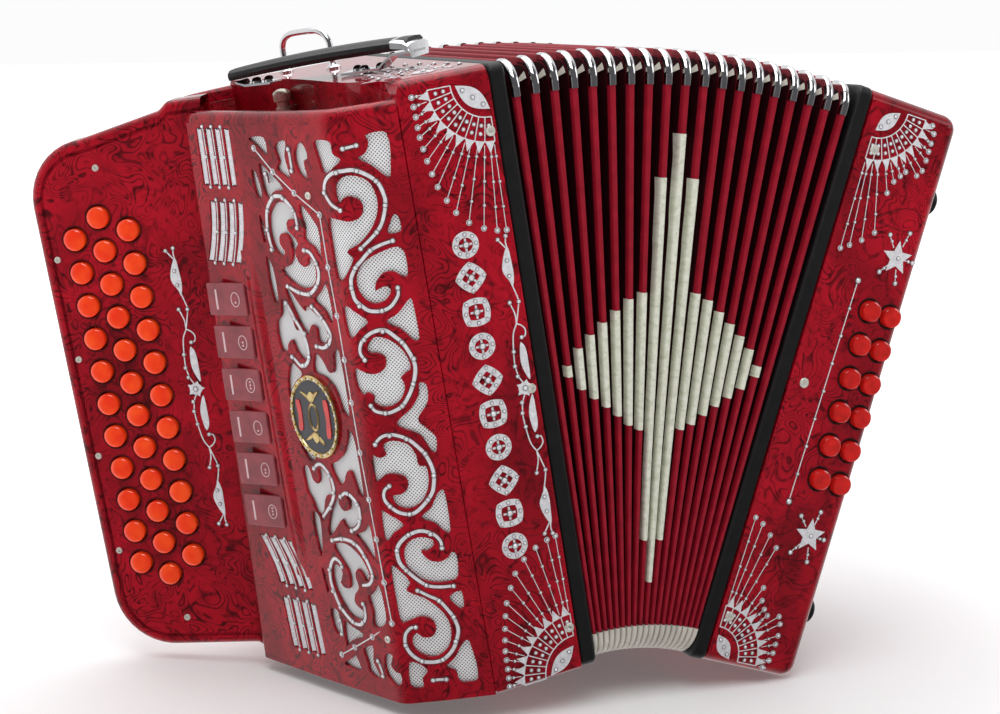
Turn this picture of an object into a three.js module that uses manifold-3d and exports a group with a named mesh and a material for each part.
// Three-row diatonic button accordion, standing on both cases with its bellows fanned open.
// Millimetres, +Z up, front towards -Y, treble side towards -X.
// The origin is on the floor, under the middle of the whole instrument's bounding box.

import * as THREE from 'three';
import { mergeVertices } from 'three/addons/utils/BufferGeometryUtils.js';
import Module from 'manifold-3d';

// ---------------------------------------------------------------- driving dimensions

const HEIGHT = 323;                 // both cases and the bellows
const DEPTH = 198;                  // front to back
const WALL = 6;                     // wooden case walls
const GAP = 0.3;                    // clearance between touching pieces

const FOLDS = 19;
const FOLD_CLOSED = 3;              // thickness of one pressed fold
const PLEAT = 14;                   // from the ridge of a fold to its valley
const FAN = THREE.MathUtils.degToRad(27.3);   // opening of the bellows at rest
const FAN_RADIUS = (FOLDS * FOLD_CLOSED) / FAN;
const FRAME = 9;                    // thickness of each bellows frame
const FRAME_RIM = 22;               // width of the frame's wood around its opening
const LEAN = THREE.MathUtils.degToRad(9.52);  // treble case leaning out, so both cases touch down

const STRIP = 49.5;                 // front strip of the treble case
const CASE_WIDTH = 118;             // treble case at its back
const FACET_ANGLE = THREE.MathUtils.degToRad(152);    // front facet of the grille cover
const FACET_FOOT = 50;              // its width at the floor
const FACET_TOP = 36.5;
const SIDE_ANGLE = THREE.MathUtils.degToRad(112);     // side facet, which holds the registers
const SIDE_WIDTH = 118;
const COVER_TOP = HEIGHT - 4;
const COVER_WALL = 4;
const COVER_DIP = 14;               // the scooped recess in the cover's top, below the case

const BOARD_ANGLE = THREE.MathUtils.degToRad(32.8);
const BOARD_ORIGIN = new THREE.Vector2(-186.2, 172);     // on the outer row of buttons
const BOARD_LEFT = -22.5;
const BOARD_RIGHT = 84;
const BOARD_BOTTOM = 16;
const BOARD_TOP = HEIGHT - 14;
const BOARD_CORNER = 34;
const BOARD_SKIN = 4;
const BOARD_BACK = 2.5;
const BOARD_DEPTH = 17;             // also the level of the sound board

const KEY_PITCH = 18.77;
const KEY_TOP = 255.7;              // height of the top button of the outer row
const KEY_LEFT = -0.9;               // the outer row, from the middle of the board frame
const ROW_STEP = 15.7;
const KEY_ROWS = [
  { count: 11, rise: 0, leverSide: 3.4, pallet: 140 },
  { count: 12, rise: 10.5, leverSide: 0, pallet: 124 },
  { count: 11, rise: 1.6, leverSide: -3.5, pallet: 108 },
];
const KEY_RADIUS = 6.1;
const KEY_HOLE = 7;
const LEVER = 2;                    // thickness of a lever
const AXLE = { u: 92, depth: 8.5, radius: 1.5 };

const REGISTERS = 6;
const REGISTER_PITCH = 23.6;
const REGISTER_TOP = 213.3;
const REGISTER_HEIGHT = 18;
const REGISTER_SPAN = { free: 14.5, hinged: 40 };   // along the side facet, from its free edge
const REGISTER_SHIFT = -7;          // the line of tabs leans towards the free edge at its top
const REGISTER_LEAN = 0.049;

const BASS_WIDTH = 60.5;
const END_PLATE = 3.5;
const BASS_ROWS = 6;
const BASS_PITCH = 19.2;
const BASS_TOP = 208;
const BASS_COLUMNS = [36, 49.6];
const BASS_RADIUS = 5.8;
const BASS_HOLE = 6.3;
const BASS_PROUD = 5;
const AIR_BUTTON = { x: 28, z: 236, radius: 6.8, proud: 5 };

// ---------------------------------------------------------------- finishes

function finish(color, roughness, metalness = 0) {
  return new THREE.MeshStandardMaterial({ color, roughness, metalness });
}

const pearloid = finish(0xa01722, 0.15);
const clearRed = finish(0xf23a12, 0.12);
const bassRed = finish(0xd8201c, 0.2);
const tabPink = finish(0xb8474f, 0.2);
const bellowsRed = finish(0x8c1c2a, 0.6);
const blackLeather = finish(0x16161a, 0.55);
const chrome = finish(0xd8d8da, 0.15, 1);

// ---------------------------------------------------------------- solids

const wasm = await Module();
wasm.setup();

function solid(geometry) {
  const bare = geometry.clone();
  bare.deleteAttribute('normal');
  bare.deleteAttribute('uv');
  const merged = mergeVertices(bare, 1e-4);
  return new wasm.Manifold(new wasm.Mesh({
    numProp: 3,
    vertProperties: merged.attributes.position.array,
    triVerts: new Uint32Array(merged.index.array),
  }));
}

function geometryOf(manifold) {
  const mesh = manifold.getMesh();
  const geometry = new THREE.BufferGeometry();
  geometry.setAttribute('position', new THREE.BufferAttribute(mesh.vertProperties, 3));
  geometry.setIndex(new THREE.BufferAttribute(mesh.triVerts, 1));
  geometry.computeVertexNormals();
  return geometry;
}

function joined(pieces) {
  return pieces.reduce((sum, piece) => sum.add(piece));
}

function box(low, high) {
  const size = high.map((value, i) => value - low[i]);
  const centre = high.map((value, i) => (value + low[i]) / 2);
  return solid(new THREE.BoxGeometry(...size).translate(...centre));
}

// An outline in X and Y, raised from z0 to z1.
function prism(points, z0, z1) {
  const options = { depth: z1 - z0, bevelEnabled: false };
  return solid(new THREE.ExtrudeGeometry(new THREE.Shape(points), options).translate(0, 0, z0));
}

// A solid between a foot outline and a top outline with the same number of corners.
function loft(foot, top, z0, z1) {
  const turns = THREE.ShapeUtils.isClockWise(foot);
  const rings = [foot, top].map((ring) => (turns ? [...ring].reverse() : ring));
  const count = foot.length;
  const faces = [];
  for (let i = 0; i < count; i += 1) {
    const next = (i + 1) % count;
    faces.push(i, next, next + count, i, next + count, i + count);
  }
  THREE.ShapeUtils.triangulateShape(rings[0], []).forEach(([a, b, c]) => {
    faces.push(a, c, b, a + count, b + count, c + count);
  });
  const heights = [z0, z1];
  const positions = rings.flatMap((ring, i) => ring.flatMap(({ x, y }) => [x, y, heights[i]]));
  const geometry = new THREE.BufferGeometry();
  geometry.setAttribute('position', new THREE.Float32BufferAttribute(positions, 3));
  geometry.setIndex(faces);
  return solid(geometry);
}

// A shape drawn in X and Z, thickened along Y.
function plate(shape, y0, y1, curveSegments = 6) {
  const options = { depth: y1 - y0, bevelEnabled: false, curveSegments };
  return solid(new THREE.ExtrudeGeometry(shape, options).rotateX(Math.PI / 2).translate(0, y1, 0));
}

// A turned piece on the Y axis; the profile gives [radius, y] from the highest y to the lowest.
function turned(profile, segments) {
  const points = profile.map(([radius, y]) => new THREE.Vector2(radius, y));
  return new THREE.LatheGeometry(points.reverse(), segments);
}

// Moves an open outline sideways, keeping its corners mitred.
function offsetOutline(points, distance) {
  const normals = points.slice(1).map((point, i) => {
    const along = point.clone().sub(points[i]).normalize();
    return new THREE.Vector2(along.y, -along.x);
  });
  return points.map((point, i) => {
    const before = normals[Math.max(i - 1, 0)];
    const after = normals[Math.min(i, normals.length - 1)];
    const mitre = before.clone().add(after).normalize();
    return point.clone().addScaledVector(mitre, distance / mitre.dot(before));
  });
}

// ---------------------------------------------------------------- frames of reference

// Treble frame: x = 0 at the seam with the bellows, y = 0 at the front, z = 0 at the foot.
const treble = new THREE.Group();
treble.name = 'treble_frame';
treble.rotation.y = -LEAN;

// Finger board frame: x across the rows towards the grille, y into the board.
const board = new THREE.Group();
board.name = 'board_frame';
board.position.set(BOARD_ORIGIN.x, BOARD_ORIGIN.y, 0);
board.rotation.z = -BOARD_ANGLE;
treble.add(board);

function direction(angle) {
  return new THREE.Vector2(Math.cos(angle), Math.sin(angle));
}

// The crease between the two facets of the grille cover; the cover narrows towards its top.
function crease(z) {
  const width = FACET_FOOT + ((FACET_TOP - FACET_FOOT) * z) / HEIGHT;
  return direction(FACET_ANGLE).multiplyScalar(width).add(new THREE.Vector2(-STRIP, 0));
}

function coverEdge(z) {
  return direction(SIDE_ANGLE).multiplyScalar(SIDE_WIDTH).add(crease(z));
}

// Register frame, in the side facet: x from the free edge towards the crease, y into the cover.
const rail = new THREE.Group();
rail.name = 'rail_frame';
const railX = direction(SIDE_ANGLE + Math.PI);
const railShift = crease(HEIGHT).sub(crease(0));
const railZ = new THREE.Vector3(railShift.x, railShift.y, HEIGHT);
const railAlong = new THREE.Vector3(railX.x, railX.y, 0);
railZ.addScaledVector(railAlong, -railZ.dot(railAlong)).normalize();
const railInward = new THREE.Vector3().crossVectors(railZ, railAlong);
rail.quaternion.setFromRotationMatrix(new THREE.Matrix4().makeBasis(railAlong, railInward, railZ));
rail.position.set(coverEdge(0).x, coverEdge(0).y, 0);
treble.add(rail);

// Bass frame: x = 0 at the seam with the bellows, turned by the fan about its centre.
const fan = new THREE.Group();
fan.position.set(FRAME, 0, -FAN_RADIUS);
fan.rotation.y = FAN;
const bass = new THREE.Group();
bass.name = 'bass_frame';
bass.position.set(FRAME, 0, FAN_RADIUS);
fan.add(bass);
treble.add(fan);

function place(parent, name, geometry, material) {
  const mesh = new THREE.Mesh(geometry, material);
  mesh.name = name;
  parent.add(mesh);
  return mesh;
}

function inTreble(piece, group) {
  group.updateMatrix();
  return piece.transform(group.matrix.elements);
}

// A point of the treble frame given as a place across the board and a depth into it.
function onBoard(u, depth) {
  const along = new THREE.Vector2(u, depth).rotateAround(new THREE.Vector2(), -BOARD_ANGLE);
  return along.add(BOARD_ORIGIN);
}

function acrossBoardAt(x, depth) {
  const cosine = Math.cos(BOARD_ANGLE);
  return (x - BOARD_ORIGIN.x - depth * Math.sin(BOARD_ANGLE)) / cosine;
}

// How far across the board a point of the treble frame lies.
function acrossBoard(point) {
  return point.clone().sub(BOARD_ORIGIN).dot(direction(-BOARD_ANGLE));
}

// ---------------------------------------------------------------- treble keys

function keyPlaces() {
  const places = [];
  KEY_ROWS.forEach((row, rowIndex) => {
    for (let i = 0; i < row.count; i += 1) {
      const z = KEY_TOP + row.rise - i * KEY_PITCH;
      places.push({ u: KEY_LEFT + rowIndex * ROW_STEP, z, lever: z + row.leverSide, pallet: row.pallet });
    }
  });
  return places;
}

const keys = keyPlaces();
const PALLET_HALF = 6;
const PALLET_WIDTH = 6.4;

// The bent lever from the button's stem over the axle to the pallet, cut from flat bar.
function leverProfile(key) {
  const top = AXLE.depth - 2;
  const bottom = AXLE.depth + 2;
  const boss = 3.5;
  const end = key.pallet + PALLET_HALF;
  const outline = [
    [key.u - 1.5, 2], [key.u + 1.5, 2], [key.u + 1.5, top],
    [AXLE.u - boss - 1, top], [AXLE.u - boss, top - 1.5], [AXLE.u + boss, top - 1.5],
    [AXLE.u + boss + 1, top], [end, top], [end, bottom],
    [AXLE.u + boss + 1, bottom], [AXLE.u + boss, bottom + 1.5], [AXLE.u - boss, bottom + 1.5],
    [AXLE.u - boss - 1, bottom], [key.u - 1.5, bottom],
  ];
  const shape = new THREE.Shape(outline.map(([u, depth]) => new THREE.Vector2(u, depth)));
  const bore = new THREE.Path();
  bore.absarc(AXLE.u, AXLE.depth, AXLE.radius + 0.5, 0, 2 * Math.PI, true);
  shape.holes.push(bore);
  return shape;
}

function keyGeometry(key) {
  const options = { depth: LEVER, bevelEnabled: false, curveSegments: 4 };
  const lever = new THREE.ExtrudeGeometry(leverProfile(key), options);
  lever.translate(0, 0, key.lever - LEVER / 2);
  const cap = turned([[0, 2.5], [KEY_RADIUS, 2.5], [KEY_RADIUS, -1.8], [4.2, -3], [0, -3.5]], 12);
  cap.translate(key.u, 0, key.z);
  const pallet = box(
    [key.pallet - PALLET_HALF, AXLE.depth, key.lever - PALLET_WIDTH / 2],
    [key.pallet + PALLET_HALF, BOARD_DEPTH - GAP, key.lever + PALLET_WIDTH / 2],
  );
  return geometryOf(joined([solid(lever), solid(cap), pallet]));
}

keys.forEach((key, i) => {
  const name = `treble_key_${String(i + 1).padStart(2, '0')}`;
  place(board, name, keyGeometry(key), clearRed);
});

// ---------------------------------------------------------------- finger board

// The top edge climbs and the bottom edge drops towards the grille, then both flare out.
function boardOutline(inset, right) {
  const left = BOARD_LEFT + inset;
  const bottom = BOARD_BOTTOM + inset;
  const top = BOARD_TOP - inset;
  const radius = BOARD_CORNER - inset;
  const flare = { start: 57, end: 66, bottom: 6, top: 5 };
  const slope = { bottom: 3, top: 9 };
  const low = bottom - slope.bottom;
  const high = top + slope.top;
  const shape = new THREE.Shape();
  shape.moveTo(left + radius, bottom);
  shape.lineTo(flare.start, low);
  shape.bezierCurveTo(flare.end - 4, low, flare.start + 4, low - flare.bottom,
    flare.end, low - flare.bottom);
  shape.lineTo(right, low - flare.bottom);
  shape.lineTo(right, high + flare.top);
  shape.lineTo(flare.end, high + flare.top);
  shape.bezierCurveTo(flare.start + 4, high + flare.top, flare.end - 4, high, flare.start, high);
  shape.lineTo(left + radius, top);
  shape.absarc(left + radius, top - radius, radius, Math.PI / 2, Math.PI, false);
  shape.lineTo(left, bottom + radius);
  shape.absarc(left + radius, bottom + radius, radius, Math.PI, 1.5 * Math.PI, false);
  return shape;
}

function fingerBoard() {
  const face = boardOutline(0, BOARD_RIGHT);
  keys.forEach((key) => {
    const hole = new THREE.Path();
    hole.absarc(key.u, key.z, KEY_HOLE, 0, 2 * Math.PI, true);
    face.holes.push(hole);
  });
  const shell = plate(boardOutline(0, BOARD_RIGHT), BOARD_SKIN / 2, BOARD_DEPTH - GAP, 4);
  const hollow = plate(boardOutline(WALL - 2, BOARD_RIGHT + 1), 0, BOARD_DEPTH - BOARD_BACK, 4);
  return geometryOf(shell.subtract(hollow).add(plate(face, 0, BOARD_SKIN, 5)));
}

place(board, 'finger_board', fingerBoard(), pearloid);

// ---------------------------------------------------------------- treble case

// Inside the case: the reed blocks stand on the back of the sound board, under the pallets.
function reedBlocks() {
  return KEY_ROWS.map((row) => box(
    [row.pallet - 5, BOARD_DEPTH + 2, 46],
    [row.pallet + 5, BOARD_DEPTH + 34, 290],
  ));
}

function soundHoles() {
  return keys.map((key) => box(
    [key.pallet - 3.5, BOARD_DEPTH - 1, key.lever - 1.4],
    [key.pallet + 3.5, BOARD_DEPTH + 22, key.lever + 1.4],
  ));
}

// The axle of the levers, held by a cheek at each end.
function axle() {
  const ends = [44, 290];
  const length = ends[1] - ends[0];
  const rod = new THREE.CylinderGeometry(AXLE.radius, AXLE.radius, length, 8);
  rod.rotateX(Math.PI / 2);
  rod.translate(AXLE.u, AXLE.depth, (ends[0] + ends[1]) / 2);
  const cheeks = ends.map((z) => box(
    [AXLE.u - 3, AXLE.depth - 4, z - 3],
    [AXLE.u + 5, BOARD_DEPTH + 1, z + 3],
  ));
  return joined([solid(rod), ...cheeks]);
}

function roundedBackCorner(radius, inset) {
  const centre = new THREE.Vector2(-CASE_WIDTH + radius, DEPTH - radius);
  const points = [];
  for (let step = 0; step <= 4; step += 1) {
    const angle = Math.PI - (step * Math.PI) / 8;
    const arm = new THREE.Vector2(Math.cos(angle), Math.sin(angle)).multiplyScalar(radius - inset);
    points.push(centre.clone().add(arm));
  }
  return points;
}

function trebleCase() {
  const radius = 14;
  const nearSeam = onBoard(acrossBoardAt(-STRIP, BOARD_DEPTH), BOARD_DEPTH);
  const nearEdge = onBoard(acrossBoardAt(-CASE_WIDTH, BOARD_DEPTH), BOARD_DEPTH);
  const front = [new THREE.Vector2(0, 0), new THREE.Vector2(-STRIP, 0), nearSeam, nearEdge];
  const walls = [...front, ...roundedBackCorner(radius, 0), new THREE.Vector2(0, DEPTH)];
  const cavityFront = offsetOutline([...front, new THREE.Vector2(-CASE_WIDTH, DEPTH)], WALL);
  cavityFront.pop();
  cavityFront[0].x = 1;
  const cavity = [
    ...cavityFront, ...roundedBackCorner(radius, WALL), new THREE.Vector2(1, DEPTH - WALL),
  ];
  const shell = prism(walls, 0, HEIGHT).subtract(prism(cavity, WALL, HEIGHT - WALL));
  const inner = joined([axle(), ...reedBlocks()]);
  const body = shell.add(inTreble(inner, board));
  return geometryOf(body.subtract(inTreble(joined(soundHoles()), board)));
}

place(treble, 'treble_case', trebleCase(), pearloid);

// ---------------------------------------------------------------- grille cover

// The folded front of the cover, from the front strip over the crease to its free edge,
// which turns down onto the finger board.
function coverFront(z) {
  const edge = coverEdge(z);
  const foot = onBoard(acrossBoard(edge) + 1, -GAP);
  return [new THREE.Vector2(-STRIP - GAP, 0), crease(z), edge, foot];
}

function coverSection(z) {
  const outside = coverFront(z);
  const inside = offsetOutline(outside, COVER_WALL).reverse();
  inside[0] = onBoard(acrossBoard(outside[3]) + COVER_WALL, -GAP);
  inside[3].x = -STRIP - GAP;
  return [...outside, ...inside];
}

function coverEndSection(z) {
  const inside = offsetOutline(coverFront(z), COVER_WALL - 1);
  inside[0].x = -STRIP - GAP;
  const clear = BOARD_DEPTH - GAP;
  const strip = onBoard(acrossBoardAt(-STRIP - GAP, clear), clear);
  return [...inside, onBoard(BOARD_RIGHT + 1, -GAP), onBoard(BOARD_RIGHT + 1, clear), strip];
}

function coverEnd(z0, z1) {
  return loft(coverEndSection(z0), coverEndSection(z1), z0, z1);
}

function grilleCover() {
  const floor = HEIGHT - COVER_DIP;
  const shell = joined([
    loft(coverSection(0), coverSection(COVER_TOP), 0, COVER_TOP),
    coverEnd(0, COVER_WALL),
    coverEnd(floor - COVER_WALL, floor),
  ]);
  const low = 18;
  const high = floor - 10;
  const registerFoot = REGISTER_TOP - (REGISTERS - 0.5) * REGISTER_PITCH;
  const registerHead = REGISTER_TOP + REGISTER_PITCH / 2;
  const sideWindow = box([60, -5, low], [106, 8, high]);
  const { free, hinged } = REGISTER_SPAN;
  const slotStart = free + REGISTER_SHIFT - 2;
  const registerSlot = box([slotStart, -8, registerFoot], [hinged + 1, 8, registerHead]);
  const frontFacet = new THREE.Group();
  frontFacet.position.set(crease(0).x, crease(0).y, 0);
  frontFacet.rotation.z = FACET_ANGLE + Math.PI;
  const frontWindow = box([18, -5, low], [FACET_FOOT - 6, 8, high]);
  return geometryOf(shell
    .subtract(inTreble(sideWindow.add(registerSlot), rail))
    .subtract(inTreble(frontWindow, frontFacet)));
}

place(treble, 'grille_cover', grilleCover(), pearloid);

// ---------------------------------------------------------------- register switches

// A tilted tab with the lug that hangs on its pivot.
function registerGeometry(z) {
  const shift = REGISTER_SHIFT + (REGISTER_TOP - z) * REGISTER_LEAN;
  const free = REGISTER_SPAN.free + shift;
  const hinged = REGISTER_SPAN.hinged + shift;
  const lug = hinged - 5;
  const outline = [[free, -6.5], [hinged, 0], [hinged, 10], [lug, 10], [lug, 3.2], [free, -3]];
  const points = outline.map(([x, y]) => new THREE.Vector2(x, y));
  return geometryOf(prism(points, z - REGISTER_HEIGHT / 2, z + REGISTER_HEIGHT / 2));
}

for (let i = 0; i < REGISTERS; i += 1) {
  const z = REGISTER_TOP - i * REGISTER_PITCH;
  place(rail, `register_switch_${i + 1}`, registerGeometry(z), tabPink);
}

// ---------------------------------------------------------------- bellows

// One rectangular ring of the pleated sleeve, in the plane turned by angle about the fan centre.
function sleeveRing(angle, inset) {
  const low = FAN_RADIUS + inset;
  const high = FAN_RADIUS + HEIGHT - inset;
  const corners = [[inset, low], [DEPTH - inset, low], [DEPTH - inset, high], [inset, high]];
  return corners.map(([y, radius]) => [
    FRAME + radius * Math.sin(angle), y, radius * Math.cos(angle) - FAN_RADIUS,
  ]);
}

function pleatedSleeve() {
  const skin = 5;
  const bite = THREE.MathUtils.degToRad(0.4);
  const rings = [];
  for (let i = 0; i <= 2 * FOLDS; i += 1) {
    const turn = (FAN * i) / (2 * FOLDS);
    const atEnd = i === 0 ? -bite : (i === 2 * FOLDS) * bite;
    rings.push({ angle: turn + atEnd, inset: i % 2 ? 1 : 1 + PLEAT });
  }
  const loops = [
    ...rings.map((ring) => sleeveRing(ring.angle, ring.inset)),
    ...rings.map((ring) => sleeveRing(ring.angle, ring.inset + skin)).reverse(),
  ];
  const positions = loops.flat(2);
  const faces = [];
  loops.forEach((loop, i) => {
    const here = 4 * i;
    const next = 4 * ((i + 1) % loops.length);
    for (let side = 0; side < 4; side += 1) {
      const other = (side + 1) % 4;
      faces.push(here + side, next + other, next + side);
      faces.push(here + side, here + other, next + other);
    }
  });
  const geometry = new THREE.BufferGeometry();
  geometry.setAttribute('position', new THREE.Float32BufferAttribute(positions, 3));
  geometry.setIndex(faces);
  return solid(geometry);
}

function bellowsFrame(x0, x1) {
  const outer = box([x0, 0, 0], [x1, DEPTH, HEIGHT]);
  const rim = FRAME_RIM;
  return outer.subtract(box([x0 - 1, rim, rim], [x1 + 1, DEPTH - rim, HEIGHT - rim]));
}

function bellowsGeometry() {
  fan.updateMatrix();
  bass.updateMatrix();
  const toBass = fan.matrix.clone().multiply(bass.matrix);
  const bassFrame = bellowsFrame(-FRAME, -GAP).transform(toBass.elements);
  return geometryOf(joined([bellowsFrame(GAP, FRAME), bassFrame, pleatedSleeve()]));
}

place(treble, 'bellows', bellowsGeometry(), bellowsRed);

// ---------------------------------------------------------------- carrying handle

// A padded strap between two cranked brackets, standing over the back of the treble case.
function carryHandle() {
  const right = new THREE.Vector2(-20, 58);
  const left = new THREE.Vector2(-92, 142);
  const along = left.clone().sub(right);
  const length = along.length();
  const top = HEIGHT + 18;
  const strap = new THREE.Shape();
  strap.moveTo(0, top - 7);
  strap.lineTo(length, top - 7);
  strap.lineTo(length, top - 1);
  strap.quadraticCurveTo(length / 2, top + 4, 0, top - 1);
  const bracket = (x) => box([x - 9, -9, HEIGHT + GAP], [x + 9, 9, top - 5]);
  const pieces = [plate(strap, -11, 11, 6), bracket(24), bracket(length - 24)];
  const piece = joined(pieces);
  const stand = new THREE.Group();
  stand.position.set(right.x, right.y, 0);
  stand.rotation.z = along.angle();
  return geometryOf(inTreble(piece, stand));
}

place(treble, 'carry_handle', carryHandle(), blackLeather);

// ---------------------------------------------------------------- bass side

function bassPlaces() {
  const places = [];
  for (let row = 0; row < BASS_ROWS; row += 1) {
    BASS_COLUMNS.forEach((x) => places.push({ x, z: BASS_TOP - row * BASS_PITCH }));
  }
  return places;
}

const bassKeys = bassPlaces();

function bore(x, z, y0, y1, radius) {
  const cutter = new THREE.CylinderGeometry(radius, radius, y1 - y0, 12);
  return solid(cutter.translate(x, (y0 + y1) / 2, z));
}

function bassCase() {
  const end = BASS_WIDTH - END_PLATE - GAP;
  const soundBoard = { near: 9, far: 15 };
  const low = [WALL, WALL];
  const high = [DEPTH - WALL, HEIGHT - WALL];
  const shell = box([GAP, 0, 0], [end, DEPTH, HEIGHT])
    .subtract(box([-1, ...low], [soundBoard.near, ...high]))
    .subtract(box([soundBoard.far, ...low], [end + 1, ...high]));
  const airHoles = bassKeys.map((key, i) => {
    const y = 50 + 60 * (i % 2);
    return box([0, y, key.z - 3], [20, y + 30, key.z + 3]);
  });
  const buttonHoles = bassKeys.map((key) => bore(key.x, key.z, -1, WALL + 1, BASS_HOLE));
  const airHole = bore(AIR_BUTTON.x, AIR_BUTTON.z, DEPTH - WALL - 1, DEPTH + 1, AIR_BUTTON.radius + 0.6);
  return geometryOf(shell.subtract(joined([...airHoles, ...buttonHoles, airHole])));
}

place(bass, 'bass_case', bassCase(), pearloid);

function endPlate() {
  const inset = 3;
  const outline = (edge) => {
    const shape = new THREE.Shape();
    shape.moveTo(edge, edge);
    shape.lineTo(DEPTH - edge, edge);
    shape.lineTo(DEPTH - edge, HEIGHT - edge);
    shape.lineTo(edge, HEIGHT - edge);
    return shape;
  };
  const options = {
    depth: 0.5, bevelEnabled: true, bevelThickness: inset, bevelSize: inset, bevelSegments: 2,
  };
  const slab = new THREE.ExtrudeGeometry(outline(inset), options);
  slab.applyMatrix4(new THREE.Matrix4().makeBasis(
    new THREE.Vector3(0, 1, 0), new THREE.Vector3(0, 0, 1), new THREE.Vector3(1, 0, 0),
  ));
  const start = BASS_WIDTH - END_PLATE;
  slab.translate(start, 0, 0);
  const keep = box([start, -1, -1], [BASS_WIDTH, DEPTH + 1, HEIGHT + 1]);
  return geometryOf(solid(slab).intersect(keep));
}

place(bass, 'bass_end_plate', endPlate(), pearloid);

// The domed cap outside, the stem inside and the collar that keeps the button in its hole.
function bassButton(key) {
  const radius = BASS_RADIUS;
  const profile = [
    [0, 22], [2.5, 22], [2.5, 10.5], [6.55, 10.5], [6.55, 8.5], [2.5, 8.5], [2.5, 4], [radius, 4],
    [radius, 3 - BASS_PROUD], [radius * 0.7, 1 - BASS_PROUD], [0, -BASS_PROUD],
  ];
  return geometryOf(solid(turned(profile, 10).translate(key.x, 0, key.z)));
}

bassKeys.forEach((key, i) => {
  place(bass, `bass_button_${String(i + 1).padStart(2, '0')}`, bassButton(key), bassRed);
});

function airButton() {
  const { x, z, radius, proud } = AIR_BUTTON;
  const profile = [
    [0, proud], [radius - 1.5, proud], [radius, proud - 1.5], [radius, -4],
    [3, -4], [3, -7], [8.5, -7], [8.5, -14], [3, -14], [3, -30], [0, -30],
  ];
  const knob = turned(profile, 14);
  return geometryOf(solid(knob.translate(x, DEPTH, z)));
}

place(bass, 'air_button', airButton(), chrome);

// ---------------------------------------------------------------- standing on the floor

const accordion = new THREE.Group();
accordion.add(treble);
accordion.updateMatrixWorld(true);
const bounds = new THREE.Box3().setFromObject(accordion, true);
const middle = bounds.getCenter(new THREE.Vector3());
treble.position.set(-middle.x, -middle.y, -bounds.min.z);
accordion.updateMatrixWorld(true);

export default accordion;
